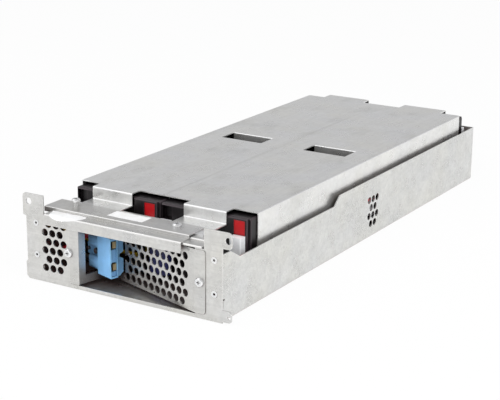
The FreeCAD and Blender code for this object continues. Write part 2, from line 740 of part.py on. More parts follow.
def connector():
    """A genderless two-pole housing, with its mating face at the right-hand end."""
    body = new_body("connector")
    hood = rectangle("-hood_long", "0", "0", "housing_high")
    pad(body, sketch(body, "XY", "0", [hood]), "XY", "housing_thick")
    axes = [f"({POLE_MIDDLE} {side} pole_step / 2)" for side in ("-", "+")]
    barrels = [rectangle("-barrel_long", "-hood_long", f"{axis} - barrel_wide / 2",
                         f"{axis} + barrel_wide / 2") for axis in axes]
    pad(body, sketch(body, "XY", "barrel_low", barrels), "XY", "barrel_wide")
    web = rectangle("-housing_long", "-hood_long", f"{axes[0]} + barrel_wide / 2 - web_lap",
                    f"{axes[1]} - barrel_wide / 2 + web_lap")
    pad(body, sketch(body, "XY", "0", [web]), "XY", "web_thick")

    def barrel_tops(spot):
        return spot.x < -size("hood_long + 0.1") and near(spot.z, "barrel_low + barrel_wide")
    round_edges(body, "barrel_wide * 0.4", None, barrel_tops)

    def back_corners(spot):
        return near(spot.z, "0") and (near(spot.y, "0") or near(spot.y, "housing_high"))
    round_edges(body, "hood_chamfer", ALONG_X, back_corners, "Chamfer")
    round_edges(body, "hood_round", ALONG_X, lambda spot: near(spot.z, "housing_thick"))
    half = "housing_thick / 2"
    step = rectangle("-1", "housing_high + 1", "-1", half)
    pocket(body, sketch(body, "YZ", "0", [step]), "YZ", "mating_step", forward=False)
    lows = [f"cavity_low + pole_step * {step}" for step in range(2)]
    inner = f"{half} + cavity_wall"
    cavities = [rectangle(low, f"{low} + cavity_high", inner, "housing_thick - cavity_wall")
                for low in lows]
    pocket(body, sketch(body, "YZ", "0", cavities), "YZ", "hood_long - hood_floor", forward=False)
    rim = "housing_thick - recess_wall"
    between = rectangle("cavity_low + cavity_high", "cavity_low + pole_step", inner, rim)
    under = rectangle("recess_wall", "cavity_low", inner, rim)
    pocket(body, sketch(body, "YZ", "0", [between, under]), "YZ", "mating_step * 0.6",
           forward=False)
    middle = "housing_high / 2"
    notch = [(f"{middle} - notch_wide / 2", "-0.5"), (f"{middle} + notch_wide / 2", "-0.5"),
             (f"{middle} + notch_narrow / 2", "notch_high"),
             (f"{middle} - notch_narrow / 2", "notch_high")]
    pocket(body, sketch(body, "YZ", "0", [notch]), "YZ", "mating_step + notch_deep",
           forward=False)
    mouths = [(axis, "barrel_low + barrel_wide / 2", "main_lead_wide / 2 + 0.1") for axis in axes]
    pocket(body, sketch(body, "YZ", "-barrel_long", circles=mouths), "YZ", "barrel_bore")
    rings = [(f"-({along})", POLE_MIDDLE, "connector_shank / 2") for along in CONNECTOR_SCREWS]
    pocket(body, sketch(body, "XY", "web_thick", circles=rings), "XY", "web_thick",
           forward=False)
    turn = wall_turn()
    out = "bracket_metal + housing_gap"
    keep("connector_housing", body, *wall_place("mating_at", "housing_low", out), turn)

    blades = []
    for low in lows:
        blade = part_box("0", "0", "0", "hood_long - hood_floor - contact_back",
                         "cavity_high - contact_gap * 2", "contact_thick")
        spot = wall_place("mating_at - hood_long + hood_floor",
                          f"housing_low + {low} + contact_gap", f"{out} + {inner}")
        blades.append(seat(blade, *spot, turn))
    keep("connector_contacts", grouped(blades))
    screws = []
    for along, wide in zip(CONNECTOR_SCREWS, ("connector_head", "small_head")):
        head = part_rod(f"{wide} / 2", "connector_crown")
        shank = part_rod("connector_shank / 2 - 0.1", "web_thick + 3", "-(web_thick + 3) + 0.1")
        spot = wall_place(f"mating_at - ({along})", CONNECTOR_MIDDLE, f"{out} + web_thick")
        screws.append(seat(fused([head, shank]), *spot, turn))
    keep("connector_screws", grouped(screws))


# ---------------------------------------------------------------- fasteners
def fasteners():
    rivets = [rivet(across, up) for across in ("rivet_inset", "tray_wide - rivet_inset")
              for up in ("rivet_low", "rivet_high")]
    keep("frame_rivets", grouped(rivets))
    bracket_screws = [pan_screw("bracket_screw_left", "-bracket_metal", "bracket_screw_high",
                                FACING_FRONT),
                      pan_screw("bracket_screw_right", "-bracket_metal", "bracket_screw_high",
                                FACING_FRONT)]
    keep("bracket_screws", grouped(bracket_screws))
    top = "foot_high + plate_metal"
    plate_screws = [pan_screw("plate_screw_left", "plate_screw_back", top, stand="screw_stand"),
                    pan_screw("plate_screw_right", "plate_screw_back", top)]
    keep("top_plate_screws", grouped(plate_screws))


# ---------------------------------------------------------------- battery cover
def battery_cover():
    """One folded sheet over all eight batteries, notched at both ends for their terminals."""
    body = new_body("cover")
    left = "(tray_wide - cover_wide) / 2"
    right = "(tray_wide + cover_wide) / 2"
    under = "cover_high - cover_metal"
    section = [(left, "cover_skirt"), (f"{left} + cover_metal", "cover_skirt"),
               (f"{left} + cover_metal", under), (f"{right} - cover_metal", under),
               (f"{right} - cover_metal", "cover_skirt"), (right, "cover_skirt"),
               (right, "cover_high"), (left, "cover_high")]
    pad(body, sketch(body, "XZ", "cover_front", [section]), "XZ", "cover_back - cover_front")
    front = [("cover_front + 1", under), ("cover_front + 1", "cover_high"),
             ("flange_front", "cover_high"), ("flange_front", "foot_high"),
             ("foot_front", "foot_high"), ("foot_front", "foot_high - cover_metal"),
             ("flange_front + cover_metal", "foot_high - cover_metal"),
             ("flange_front + cover_metal", under)]
    for start in ("front_tab_left", "front_tab_right"):
        pad(body, sketch(body, "YZ", start, [front]), "YZ", "front_tab_wide")
    back = [("cover_back - 1", under), ("cover_back - 1", "cover_high"),
            ("flange_back", "cover_high"), ("flange_back", "cover_skirt"),
            ("flange_back - cover_metal", "cover_skirt"), ("flange_back - cover_metal", under)]
    for start in ("back_tab_left", "back_tab_right"):
        pad(body, sketch(body, "YZ", start, [back]), "YZ", "back_tab_wide")

    fronts = "finger_back - cover_metal"
    windows = [rectangle(start, f"{start} + finger_wide", "finger_front", fronts)
               for start in ("finger_left", "finger_right")]
    pocket(body, sketch(body, "XY", "cover_high", windows), "XY", "cover_metal", forward=False)
    flaps = [rectangle(start, f"{start} + finger_wide", fronts, "finger_back")
             for start in ("finger_left", "finger_right")]
    pad(body, sketch(body, "XY", under, flaps), "XY", "finger_flap", forward=False)

    def long_folds(spot):
        return near(spot.z, "cover_high") and (near(spot.x, left) or near(spot.x, right))
    round_edges(body, "cover_bend", ALONG_Y, long_folds)

    def cross_folds(spot):
        ends = near(spot.y, "flange_front") or near(spot.y, "flange_back")
        return near(spot.z, "cover_high") and ends
    round_edges(body, "cover_bend", ALONG_X, cross_folds)
    round_edges(body, "cover_metal", ALONG_X,
                lambda spot: near(spot.z, "cover_high") and near(spot.y, fronts))
    round_edges(body, "cover_bend * 0.6", ALONG_X,
                lambda spot: near(spot.z, "foot_high") and near(spot.y, "flange_front"))
    taps = [(across, "plate_screw_back", "screw_shank / 2")
            for across in ("plate_screw_left", "plate_screw_right")]
    pocket(body, sketch(body, "XY", "foot_high", circles=taps), "XY", "cover_metal",
           forward=False)
    keep("battery_cover", body)


# ---------------------------------------------------------------- batteries
COLUMNS = {"left": "(tray_wide - battery_gap * 3) / 2 - battery_wide",
           "right": "(tray_wide + battery_gap * 3) / 2"}
# each row: its name, where its terminal face lies, and whether it faces back or lies upside down
ROWS = (("front", "battery_front", False, False),
        ("front_inner", "middle_start", True, True),
        ("rear_inner", "middle_end", False, True),
        ("rear", "battery_rear", True, False))


def battery_turn(faces_back, upside_down):
    """The turn and corner shifts of a battery that faces back or lies upside down."""
    if faces_back and upside_down:
        return Rotation(ALONG_X, 180), "0", "battery_thick"
    if upside_down:
        return Rotation(ALONG_Y, 180), "battery_wide", "battery_thick"
    if faces_back:
        return Rotation(ALONG_Z, 180), "battery_wide", "0"
    return Rotation(), "0", "0"


BLOCK_TOP = "(battery_thick - block_below)"
PLUS_LEFT = "(battery_wide - block_inset - block_wide)"
MARK_LEFT = "(battery_wide - block_inset - mark_margin - mark_wide)"
MARK_LOW = f"({BLOCK_TOP} - mark_top - mark_high)"
POCKET_LEFT = "(minus_inset + pocket_margin)"
POCKET_LOW = f"({BLOCK_TOP} - pocket_top - pocket_high)"
SLEEVES = ((f"({POCKET_LEFT} - sleeve_shift)", f"({POCKET_LOW} - sleeve_high)"),
           (MARK_LEFT, f"({MARK_LOW} - sleeve_high)"))


def battery(column, row, face, faces_back, upside_down):
    """A sealed case with its lid towards the terminals, and a raised block at each pole."""
    body = new_body("battery")
    lid = rectangle("0", "battery_wide", "0", "battery_thick")
    pad(body, sketch(body, "XZ", "0", [lid]), "XZ", "lid_deep")
    case = rectangle("case_inset", "battery_wide - case_inset", "case_inset",
                     "battery_thick - case_inset")
    pad(body, sketch(body, "XZ", "lid_deep", [case]), "XZ", "battery_deep - lid_deep")
    round_edges(body, "case_round", ALONG_Y, lambda spot: True)
    round_edges(body, "case_round * 0.4", ALONG_X, lambda spot: near(spot.y, "0"))
    blocks = [rectangle("minus_inset", "minus_inset + block_wide",
                        f"{BLOCK_TOP} - block_high", BLOCK_TOP),
              rectangle(PLUS_LEFT, f"{PLUS_LEFT} + block_wide",
                        f"{BLOCK_TOP} - block_high", BLOCK_TOP)]
    pad(body, sketch(body, "XZ", "1", blocks), "XZ", "block_proud + 1", forward=False)
    round_edges(body, "block_round", None, lambda spot: near(spot.y, "-block_proud"))
    mark = rectangle(MARK_LEFT, f"{MARK_LEFT} + mark_wide", MARK_LOW, f"{MARK_LOW} + mark_high")
    pocket(body, sketch(body, "XZ", "-block_proud", [mark]), "XZ", "mark_deep")
    minus = rectangle(POCKET_LEFT, f"{POCKET_LEFT} + pocket_wide", POCKET_LOW,
                      f"{POCKET_LOW} + pocket_high")
    pocket(body, sketch(body, "XZ", "-block_proud", [minus]), "XZ", "pocket_deep")

    turn, shift_x, shift_z = battery_turn(faces_back, upside_down)
    x = f"{COLUMNS[column]} + {shift_x}"
    z = f"metal + {shift_z}"
    keep(f"battery_{row}_{column}", body, x, face, z, turn)

    red = part_box(MARK_LEFT, "-block_proud + mark_sunk", MARK_LOW, "mark_wide",
                   "mark_deep - mark_sunk", "mark_high")
    marks.append(seat(grouped([red]), x, face, z, turn))
    for left, low in SLEEVES:
        shell = part_box(left, "-(block_proud + sleeve_deep)", low, "sleeve_wide",
                         "sleeve_deep", "sleeve_high")
        spot = (f"{left} + (sleeve_wide - blade_wide) / 2", "-(block_proud + blade_long)",
                f"{low} + blade_up")
        inner = part_box(*spot, "blade_wide", "blade_long + 1", "blade_thick")
        blade = part_box(*spot, "blade_wide", "blade_long", "blade_thick")
        mouth = part_rod("main_lead_wide / 2 + 0.1", "lead_seat", low)
        bind(mouth, "Placement.Base.x", f"{left} + sleeve_wide / 2")
        bind(mouth, "Placement.Base.y", "-(block_proud + sleeve_deep / 2)")
        doc.recompute()
        corners = straight_edges(shell.Shape, ALONG_Z,
                                 lambda spot: near(spot.y, "-(block_proud + sleeve_deep)"))
        hollow = cut(part_round(shell, "sleeve_round", corners), [inner, mouth])
        sleeves.append(seat(hollow, x, face, z, turn))
        tabs.append(seat(grouped([blade]), x, face, z, turn))


marks = []
sleeves = []
tabs = []


def batteries():
    for row, face, faces_back, upside_down in ROWS:
        for column in COLUMNS:
            battery(column, row, face, faces_back, upside_down)
    keep("positive_marks", grouped(marks))
    keep("terminal_sleeves", grouped(sleeves))
    keep("terminal_tabs", grouped(tabs))


# ---------------------------------------------------------------- leads
# each lead's hand-laid route in the working axes, from one end to the other
LEADS = {
    "lead_connector_plus": ("main_lead_wide", [
        (17.35, 503, 43.4), (17.35, 503, 20), (4.15, 503, 20), (4.15, 38, 17.5), (14, 29.5, 22),
        (36, 31.25, 38.4), (51.03, 26.56, 38.4)]),
    "lead_connector_minus": ("main_lead_wide", [
        (101, 44.5, 34.5), (101, 44.5, 43.5), (90, 42, 40), (84, 44, 14), (62, 45.5, 11),
        (34, 46.5, 11), (24, 40, 15), (33, 32.2, 18.5), (51.03, 26.56, 18.5)]),
    "lead_column_link": ("lead_wide", [
        (109.25, 503, 43.4), (109.25, 503, 9), (3.9, 503, 9), (3.9, 51.5, 9), (13.95, 51.5, 9),
        (13.95, 51.5, 44.9)]),
    "lead_front_left": ("lead_wide", [
        (87.95, 51.5, 43.4), (87.95, 51.5, 22), (60, 51.5, 21.5), (34, 50.5, 26), (12, 31, 38.5),
        (3.9, 44, 40), (3.9, 268, 41), (13.95, 268, 41), (13.95, 268, 28.7)]),
    "lead_front_right": ("lead_wide", [
        (179.85, 51.5, 43.4), (179.85, 51.5, 24), (193.3, 51.5, 24), (193.3, 230, 24),
        (193.3, 274, 40), (105.85, 274, 40), (105.85, 268, 45), (105.85, 268, 28.7)]),
    "lead_middle_left": ("lead_wide", [
        (87.95, 268, 30.2), (87.95, 268, 46), (91.35, 286.5, 46), (91.35, 286.5, 28.7)]),
    "lead_middle_right": ("lead_wide", [
        (179.85, 268, 30.2), (179.85, 268, 49), (183.25, 286.5, 49), (183.25, 286.5, 28.7)]),
    "lead_rear_left": ("lead_wide", [
        (17.35, 286.5, 30.2), (17.35, 286.5, 41), (3.9, 286.5, 41), (3.9, 320, 30),
        (3.9, 508.5, 28), (91.35, 508.5, 24), (91.35, 503, 30), (91.35, 503, 44.9)]),
    "lead_rear_right": ("lead_wide", [
        (109.25, 286.5, 30.2), (109.25, 286.5, 42), (118, 280.5, 41), (193.3, 280.5, 41),
        (193.3, 320, 30), (193.3, 503, 30), (183.25, 503, 27), (183.25, 503, 44.9)]),
    "lead_fuse": ("lead_wide", [
        (106, 44.5, 12.5), (106, 44.5, 5), (105.85, 51.5, 5), (105.85, 51.5, 44.9)]),
}


def lead_shape(spots, wide, bend):
    """A round lead along straight runs joined by tangent arcs."""
    spots = [Vector(*spot) for spot in spots]
    edges = []
    start = spots[0]
    for before, corner, after in zip(spots, spots[1:], spots[2:]):
        back = before - corner
        ahead = after - corner
        half_turn = (math.pi - back.getAngle(ahead)) / 2
        reach = min(bend * math.tan(half_turn), min(back.Length, ahead.Length) * 0.45)
        radius = reach / math.tan(half_turn)
        back.normalize()
        ahead.normalize()
        enter = corner + back * reach
        leave = corner + ahead * reach
        inward = (back + ahead).normalize()
        middle = corner + inward * (radius / math.cos(half_turn) - radius)
        edges.append(Part.makeLine(start, enter))
        edges.append(Part.Arc(enter, middle, leave).toShape())
        start = leave
    edges.append(Part.makeLine(start, spots[-1]))
    path = Part.Wire(edges)
    first = (spots[1] - spots[0]).normalize()
    ring = Part.Wire([Part.makeCircle(wide / 2, spots[0], first)])
    made = path.makePipeShell([ring], True, False)
    expected = path.Length * math.pi * wide ** 2 / 4
    if abs(made.Volume / expected - 1) > 0.01:
        raise RuntimeError(f"a lead's volume is {made.Volume:.0f}, not {expected:.0f} mm3")
    return made


def fuse_holder():
    """A flat in-line fuse holder with a raised collar, carried upright by its two leads."""
    case = part_box("0", "0", "0", "fuse_wide", "fuse_thick", "fuse_high")
    collar = part_box("-fuse_collar", "-fuse_collar", "fuse_high * 0.4",
                      "fuse_wide + fuse_collar * 2", "fuse_thick + fuse_collar * 2",
                      "fuse_high * 0.2")
    doc.recompute()
    pieces = [part_round(box, "fuse_round", straight_edges(box.Shape, ALONG_Z, lambda spot: True))
              for box in (case, collar)]
    keep("fuse_holder", fused(pieces), "fuse_across", "fuse_back", "fuse_low")


def leads():
    for name, (wide, spots) in LEADS.items():
        thing = doc.addObject("Part::Feature", name)
        thing.Shape = lead_shape(spots, size(wide), size("lead_bend"))
        keep(name, thing)


# ---------------------------------------------------------------- build, check and write
for build in (tray, front_frame, top_plate, connector_bracket, connector, fasteners,
              battery_cover, batteries, leads, fuse_holder):
    build()
doc.recompute()

for thing in doc.Objects:
    if {"Invalid", "Error"} & set(thing.State):
        raise RuntimeError(f"{thing.Name} {thing.Label} failed: {thing.State}")
for name, thing in parts.items():
    if thing.Shape.isNull() or not thing.Shape.isValid():
        raise RuntimeError(f"{name} has no valid shape")

os.makedirs("parts", exist_ok=True)
for name, thing in parts.items():
    thing.Shape.exportStep(f"parts/{name}.step")
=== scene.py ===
"""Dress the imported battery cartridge: finishes, two blank labels, floor, light and camera.

Lengths are in metres. Texture scales are in units of one over metres.
"""
import math

import bmesh
import bpy
from mathutils import Matrix, Vector


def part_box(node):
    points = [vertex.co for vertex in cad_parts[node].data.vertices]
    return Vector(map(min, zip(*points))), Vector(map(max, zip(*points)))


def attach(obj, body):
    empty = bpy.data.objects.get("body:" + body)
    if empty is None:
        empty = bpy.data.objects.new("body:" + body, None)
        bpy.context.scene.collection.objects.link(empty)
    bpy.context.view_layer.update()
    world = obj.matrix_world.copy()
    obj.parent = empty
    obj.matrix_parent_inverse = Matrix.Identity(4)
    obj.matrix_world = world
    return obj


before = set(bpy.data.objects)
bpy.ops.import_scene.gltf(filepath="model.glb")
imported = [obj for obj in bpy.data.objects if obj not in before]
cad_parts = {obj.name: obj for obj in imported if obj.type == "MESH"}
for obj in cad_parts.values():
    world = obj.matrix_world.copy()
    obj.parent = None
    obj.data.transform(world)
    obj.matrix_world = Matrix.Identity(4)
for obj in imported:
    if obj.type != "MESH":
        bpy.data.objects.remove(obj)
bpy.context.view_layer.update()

MM = 0.001
WHITE = (1.0, 1.0, 1.0)
MIX_INPUTS, MIX_OUTPUT = (0, 6, 7), 2       # factor, first and second colour of a Mix node
NOISE_LOW, NOISE_HIGH = 0.3, 0.7            # most of a noise's values lie between these


def grey(value):
    return value, value, value


# ---------------------------------------------------------------- node helpers
class Nodes:
    """Short calls for the nodes of one tree.

    A wire is a (node, output) pair. Where a call takes a wire, it takes a constant as well.
    """

    def __init__(self, tree):
        self.tree = tree
        tree.nodes.clear()

    def add(self, kind, **settings):
        node = self.tree.nodes.new(kind)
        for name, value in settings.items():
            setattr(node, name, value)
        return node

    def plug(self, value, node, into):
        """Join a wire to a node's input, or set that input to a constant."""
        socket = node.inputs[into]
        if isinstance(value, tuple) and isinstance(value[0], bpy.types.Node):
            self.tree.links.new(value[0].outputs[value[1]], socket)
        else:
            socket.default_value = (*value, 1.0) if socket.type == "RGBA" else value

    def fed(self, kind, values, **settings):
        """A new node with an input plugged for each (input, value) pair."""
        node = self.add(kind, **settings)
        for into, value in values:
            self.plug(value, node, into)
        return node

    def maths(self, operation, *values):
        return self.fed("ShaderNodeMath", enumerate(values), operation=operation), 0

    def split(self, wire):
        """The node whose outputs X, Y and Z are a vector's parts."""
        return self.fed("ShaderNodeSeparateXYZ", [(0, wire)])

    def ramp(self, wire, stops):
        """A colour ramp; each stop is a place on it and a grey value or a colour."""
        node = self.fed("ShaderNodeValToRGB", [(0, wire)])
        band = node.color_ramp
        while len(band.elements) < len(stops):
            band.elements.new(0.5)
        for element, (at, value) in zip(band.elements, stops):
            element.position = at
            element.color = (*(value if isinstance(value, tuple) else grey(value)), 1.0)
        return node, "Color"

    def remap(self, wire, low, high, to_low, to_high):
        return self.fed("ShaderNodeMapRange", [
            ("Value", wire), ("From Min", low), ("From Max", high),
            ("To Min", to_low), ("To Max", to_high)]), 0

    def seen_directly(self, strength):
        """The given strength for camera, glossy and transmission rays, and 0 for all others."""
        path = self.add("ShaderNodeLightPath")
        seen = self.maths("MAXIMUM", (path, "Is Camera Ray"), (path, "Is Glossy Ray"))
        seen = self.maths("MAXIMUM", seen, (path, "Is Transmission Ray"))
        return self.maths("MULTIPLY", seen, strength)

    def finish(self, seen, first, second, out):
        """Show the second shader as far as a place is seen directly, and else the first."""
        shown = self.fed("ShaderNodeMixShader", [(0, seen), (1, (first, 0)), (2, (second, 0))])
        self.plug((shown, 0), self.add(out), 0)


class Paint(Nodes):
    """A new material with a Principled shader and textures laid out in world space."""

    def __init__(self, name):
        self.material = bpy.data.materials.new(name)
        self.material.use_nodes = True
        super().__init__(self.material.node_tree)
        self.shader = self.add("ShaderNodeBsdfPrincipled")
        self.plug((self.shader, "BSDF"), self.add("ShaderNodeOutputMaterial"), "Surface")
        self.place = self.add("ShaderNodeNewGeometry")

    def surface(self, **values):
        """Plug the shader's inputs, named with _ for each space."""
        for name, value in values.items():
            self.plug(value, self.shader, name.replace("_", " "))

    def stretched(self, scale):
        """World position times a scale, which is one number or one for each axis."""
        scales = scale if isinstance(scale, tuple) else grey(scale)
        values = enumerate([(self.place, "Position"), scales])
        return self.fed("ShaderNodeVectorMath", values, operation="MULTIPLY"), 0

    def noise(self, scale, detail, rough=0.5):
        return self.fed("ShaderNodeTexNoise", [
            ("Scale", 1.0), ("Detail", detail), ("Roughness", rough),
            ("Vector", self.stretched(scale))]), "Fac"

    def cells(self, scale):
        return self.fed("ShaderNodeTexVoronoi", [
            ("Scale", 1.0), ("Vector", self.stretched(scale))]), "Color"

    def tint(self, noise, low, high):
        """A grey or a colour that runs from low to high over most of a noise's values."""
        return self.ramp(noise, [(NOISE_LOW, low), (NOISE_HIGH, high)])

    def vary(self, noise, low, high):
        """A number that runs from low to high over most of a noise's values."""
        return self.remap(noise, NOISE_LOW, NOISE_HIGH, low, high)

    def mix(self, factor, first, second, blend="MIX"):
        values = zip(MIX_INPUTS, (factor, first, second))
        return self.fed("ShaderNodeMix", values, data_type="RGBA", blend_type=blend), MIX_OUTPUT

    def times(self, first, second):
        return self.mix(1.0, first, second, "MULTIPLY")

    def bump(self, height, strength, distance, under=None):
        """A normal that follows a height, laid over another normal if one is given."""
        values = [("Strength", strength), ("Distance", distance), ("Height", height)]
        if under:
            values.append(("Normal", under))
        return self.fed("ShaderNodeBump", values), "Normal"

    def edges(self, radius, reach):
        """A mask that is at its reach along sharp edges, and 0 away from them."""
        soft = self.fed("ShaderNodeBevel", [("Radius", radius)], samples=4)
        normals = enumerate([(soft, "Normal"), (self.place, "True Normal")])
        facing = self.fed("ShaderNodeVectorMath", normals, operation="DOT_PRODUCT")
        return self.remap((facing, "Value"), 0.998, 0.93, 0.0, reach)

    def bends(self, share):
        """A mask over the folds of a sheet: the faces that no axis is square to."""
        normal = [(0, (self.place, "True Normal"))]
        sizes = self.split((self.fed("ShaderNodeVectorMath", normal, operation="ABSOLUTE"), 0))
        widest = self.maths("MAXIMUM", (sizes, "X"), (sizes, "Y"))
        widest = self.maths("MAXIMUM", widest, (sizes, "Z"))
        return self.remap(widest, 0.99, 0.93, 0.0, share)

    def shut_in(self, reach, open_at, closed_at):
        """A value that falls from 1 in the open to 0 where a place is hemmed in within a reach."""
        shut = self.fed("ShaderNodeAmbientOcclusion", [("Distance", reach)], samples=8)
        return self.remap((shut, "AO"), closed_at, open_at, 0.0, 1.0)

    def shade_painted(self, colour, deep, corner):
        """Paint shade into a colour: darker in tight corners, and towards the deep colour far
        inside the case.
        """
        tight = self.mix(self.shut_in(10 * MM, 0.80, 0.25), grey(corner), WHITE)
        inside = self.mix(self.shut_in(110 * MM, 0.40, 0.10), deep, WHITE)
        return self.times(colour, self.times(tight, inside))


# ---------------------------------------------------------------- sheet
# the grey of finger smudges, and of the painted shade along the cover's crease
SMUDGE_AND_SHADE = (0.88, 0.88, 0.87)
CREASE_LEFT = 3.8 * MM                      # from the cover's middle to its crease
CREASE_CORE, CREASE_RIM = 0.3 * MM, 3.0 * MM
FLAKES, CLOUDS, HUES, GRAIN, WAVES = 380, 55, 24, 1500, 14
ACROSS_ROLLING, ALONG_ROLLING = 700.0, 10.0
FOLD_HIGHLIGHT_GAIN, FOLD_HIGHLIGHT_LIMIT = 1.35, 0.97          # how much brighter the painted highlight on an edge or fold is, and its top value
WARM, COOL = (1.0, 0.995, 0.965), (0.985, 0.99, 1.0)


def smudges_and_crease_shade(paint, colour):
    """Finger smudges, and a faint broken line of painted shade along the crease where the sheet
    bridges the two columns.
    """
    smears = paint.ramp(paint.noise((38, 22, 38), 3.0, 0.6), [(0.54, WHITE), (0.72, SMUDGE_AND_SHADE)])
    position = paint.split((paint.place, "Position"))
    away = paint.maths("ABSOLUTE", paint.maths("ADD", (position, "X"), CREASE_LEFT))
    near = paint.remap(away, CREASE_CORE, CREASE_RIM, 1.0, 0.0)
    broken = paint.remap(paint.noise((60, 14, 60), 2.0), 0.35, 0.6, 0.2, 1.0)
    crease_shade = paint.mix(paint.maths("MULTIPLY", near, broken), WHITE, SMUDGE_AND_SHADE)
    return paint.times(paint.times(colour, smears), crease_shade)


def zinc(name, base, rolled=(1, 0, 0), metal=0.80, gloss=0.29, mottle=1.0,
         deep=(0.17, 0.11, 0.11), corner=0.85, marks=None, folded=0.8):
    """Skin-passed galvanised sheet: faint flakes, rolled streaks and clouding, with painted
    highlights along edges and folds and painted shade in corners and inside the case.

    rolled is 1 for the axes that lie across the streaks, gloss is the roughness in the middle of
    its spread, mottle scales all the patterns, folded is how far the folds take the painted
    highlight, and deep and corner are the painted shade far inside the case and in tight corners.
    """
    paint = Paint(name)
    flakes = paint.ramp(paint.cells(FLAKES), [(0.0, 1 - 0.05 * mottle), (1.0, 1 + 0.04 * mottle)])
    streaks = paint.noise(tuple(ACROSS_ROLLING if axis else ALONG_ROLLING for axis in rolled), 2.0)
    clouds = paint.noise(CLOUDS, 5.0, 0.65)
    colour = paint.times(flakes, paint.tint(streaks, 1 - 0.035 * mottle, 1 + 0.03 * mottle))
    colour = paint.times(colour, paint.tint(clouds, 1 - 0.09 * mottle, 1 + 0.06 * mottle))
    colour = paint.times(colour, paint.tint(paint.noise(HUES, 2.0), WARM, COOL))
    colour = paint.times(colour, base)
    if marks:
        colour = marks(paint, colour)
    # Painted highlight: sharp edges and folds turn lighter, standing in for the sheen along them.
    bright = tuple(min(FOLD_HIGHLIGHT_LIMIT, v * FOLD_HIGHLIGHT_GAIN) for v in base)
    colour = paint.mix(paint.edges(0.8 * MM, 0.8), colour, bright)
    if folded:
        colour = paint.mix(paint.bends(folded), colour, bright)
    dents = paint.bump(paint.noise(WAVES, 1.0), 0.22, 1.6 * MM)
    # The base colour takes painted shade in tight corners and far inside the case.
    paint.surface(Base_Color=paint.shade_painted(colour, deep, corner), Metallic=metal,
                  Roughness=paint.vary(clouds, gloss - 0.05, gloss + 0.08),
                  Normal=paint.bump(paint.noise(GRAIN, 2.0), 0.03, 0.05 * MM, dents))
    return paint.material


# ---------------------------------------------------------------- plastic and wire
def plastic(name, base, gloss, grain, depth=0.1 * MM, wear_and_sheen=1.25, deep=0.30, rub_and_sheen=0.5,
            folded=0.0, shine=0.5):
    """A moulded plastic with a fine texture, faint clouding, edges lightened partly by wear and
    partly as painted highlight, and painted shade in corners and inside the case.

    gloss is the roughness in the middle of its spread, grain and depth are the texture's scale
    and height, wear_and_sheen is how much lighter a worn or highlighted edge is, deep is the grey
    of the painted shade far inside the case, rub_and_sheen is how far edges turn lighter, partly
    as wear and partly as painted highlight, and folded is how far slanted faces take the painted
    highlight.
    """
    paint = Paint(name)
    clouds = paint.noise(90, 4.0)
    colour = paint.tint(clouds, tuple(v * 0.9 for v in base), tuple(v * 1.08 for v in base))
    # Edges and slanted faces turn lighter: partly wear, partly painted highlight.
    bright = tuple(min(0.95, v * wear_and_sheen) for v in base)
    colour = paint.mix(paint.edges(0.6 * MM, rub_and_sheen), colour, bright)
    if folded:
        colour = paint.mix(paint.bends(folded), colour, bright)
    # The base colour takes painted shade in tight corners and far inside the case.
    paint.surface(Base_Color=paint.shade_painted(colour, grey(deep), 0.55), Specular_IOR_Level=shine,
                  Roughness=paint.vary(clouds, gloss - 0.04, gloss + 0.06),
                  Normal=paint.bump(paint.noise(grain, 2.0), 0.35, depth))
    return paint.material


def insulation(name, base):
    return plastic(name, base, 0.34, 2600, 0.05 * MM, wear_and_sheen=1.15, deep=0.8, rub_and_sheen=0.2)


# ---------------------------------------------------------------- a finish for each node
ALONG_X = (0, 1, 1)                         # rolled streaks that run across the cartridge
# A finish's deep and corner values set its painted shade far inside the case and in tight corners.
FINISHES = {
    "tray": zinc("tray_zinc", (0.70, 0.70, 0.685), ALONG_X, mottle=1.5, deep=(0.55, 0.38, 0.36)),
    "battery_cover": zinc("cover_zinc", (0.84, 0.84, 0.835), mottle=0.9,
                          deep=(0.85, 0.83, 0.80), corner=0.97, marks=smudges_and_crease_shade),
    "front_frame": zinc("frame_zinc", (0.66, 0.655, 0.64), ALONG_X, mottle=1.2),
    "top_plate": zinc("plate_zinc", (0.65, 0.645, 0.635), ALONG_X, mottle=1.2, corner=0.95),
    "connector_bracket": zinc("bracket_zinc", (0.62, 0.615, 0.60), ALONG_X, mottle=1.2, folded=0),
    "connector_housing": plastic("connector_blue", (0.28, 0.59, 0.98), 0.42, 2400,
                                 wear_and_sheen=1.5, deep=0.75),
    "positive_marks": plastic("mark_red", (0.52, 0.006, 0.010), 0.36, 1800),
    "terminal_sleeves": plastic("sleeve_milky", (0.94, 0.95, 0.97), 0.30, 900,
                                wear_and_sheen=1.02, deep=0.8),
    "fuse_holder": plastic("fuse_indigo", (0.07, 0.08, 0.34), 0.36, 2000, 0.08 * MM, wear_and_sheen=1.4),
}
for node in ("frame_rivets", "bracket_screws", "top_plate_screws", "connector_screws"):
    FINISHES[node] = zinc(node + "_zinc", (0.80, 0.81, 0.82), metal=0.85, gloss=0.20)
for node in ("connector_contacts", "terminal_tabs"):
    FINISHES[node] = zinc(node + "_brass", (0.70, 0.56, 0.32), metal=0.6, gloss=0.28,
                          deep=(0.45, 0.42, 0.40), corner=0.35)
WIRES = {
    "red": ((0.55, 0.012, 0.03), ("lead_connector_plus", "lead_rear_left", "lead_front_right")),
    "black": ((0.02, 0.019, 0.02), ("lead_connector_minus", "lead_column_link", "lead_fuse")),
    "yellow": ((0.72, 0.48, 0.02), ("lead_front_left", "lead_rear_right",
                                    "lead_middle_left", "lead_middle_right")),
}
for name, (colour, leads) in WIRES.items():
    FINISHES.update(dict.fromkeys(leads, insulation("wire_" + name, colour)))
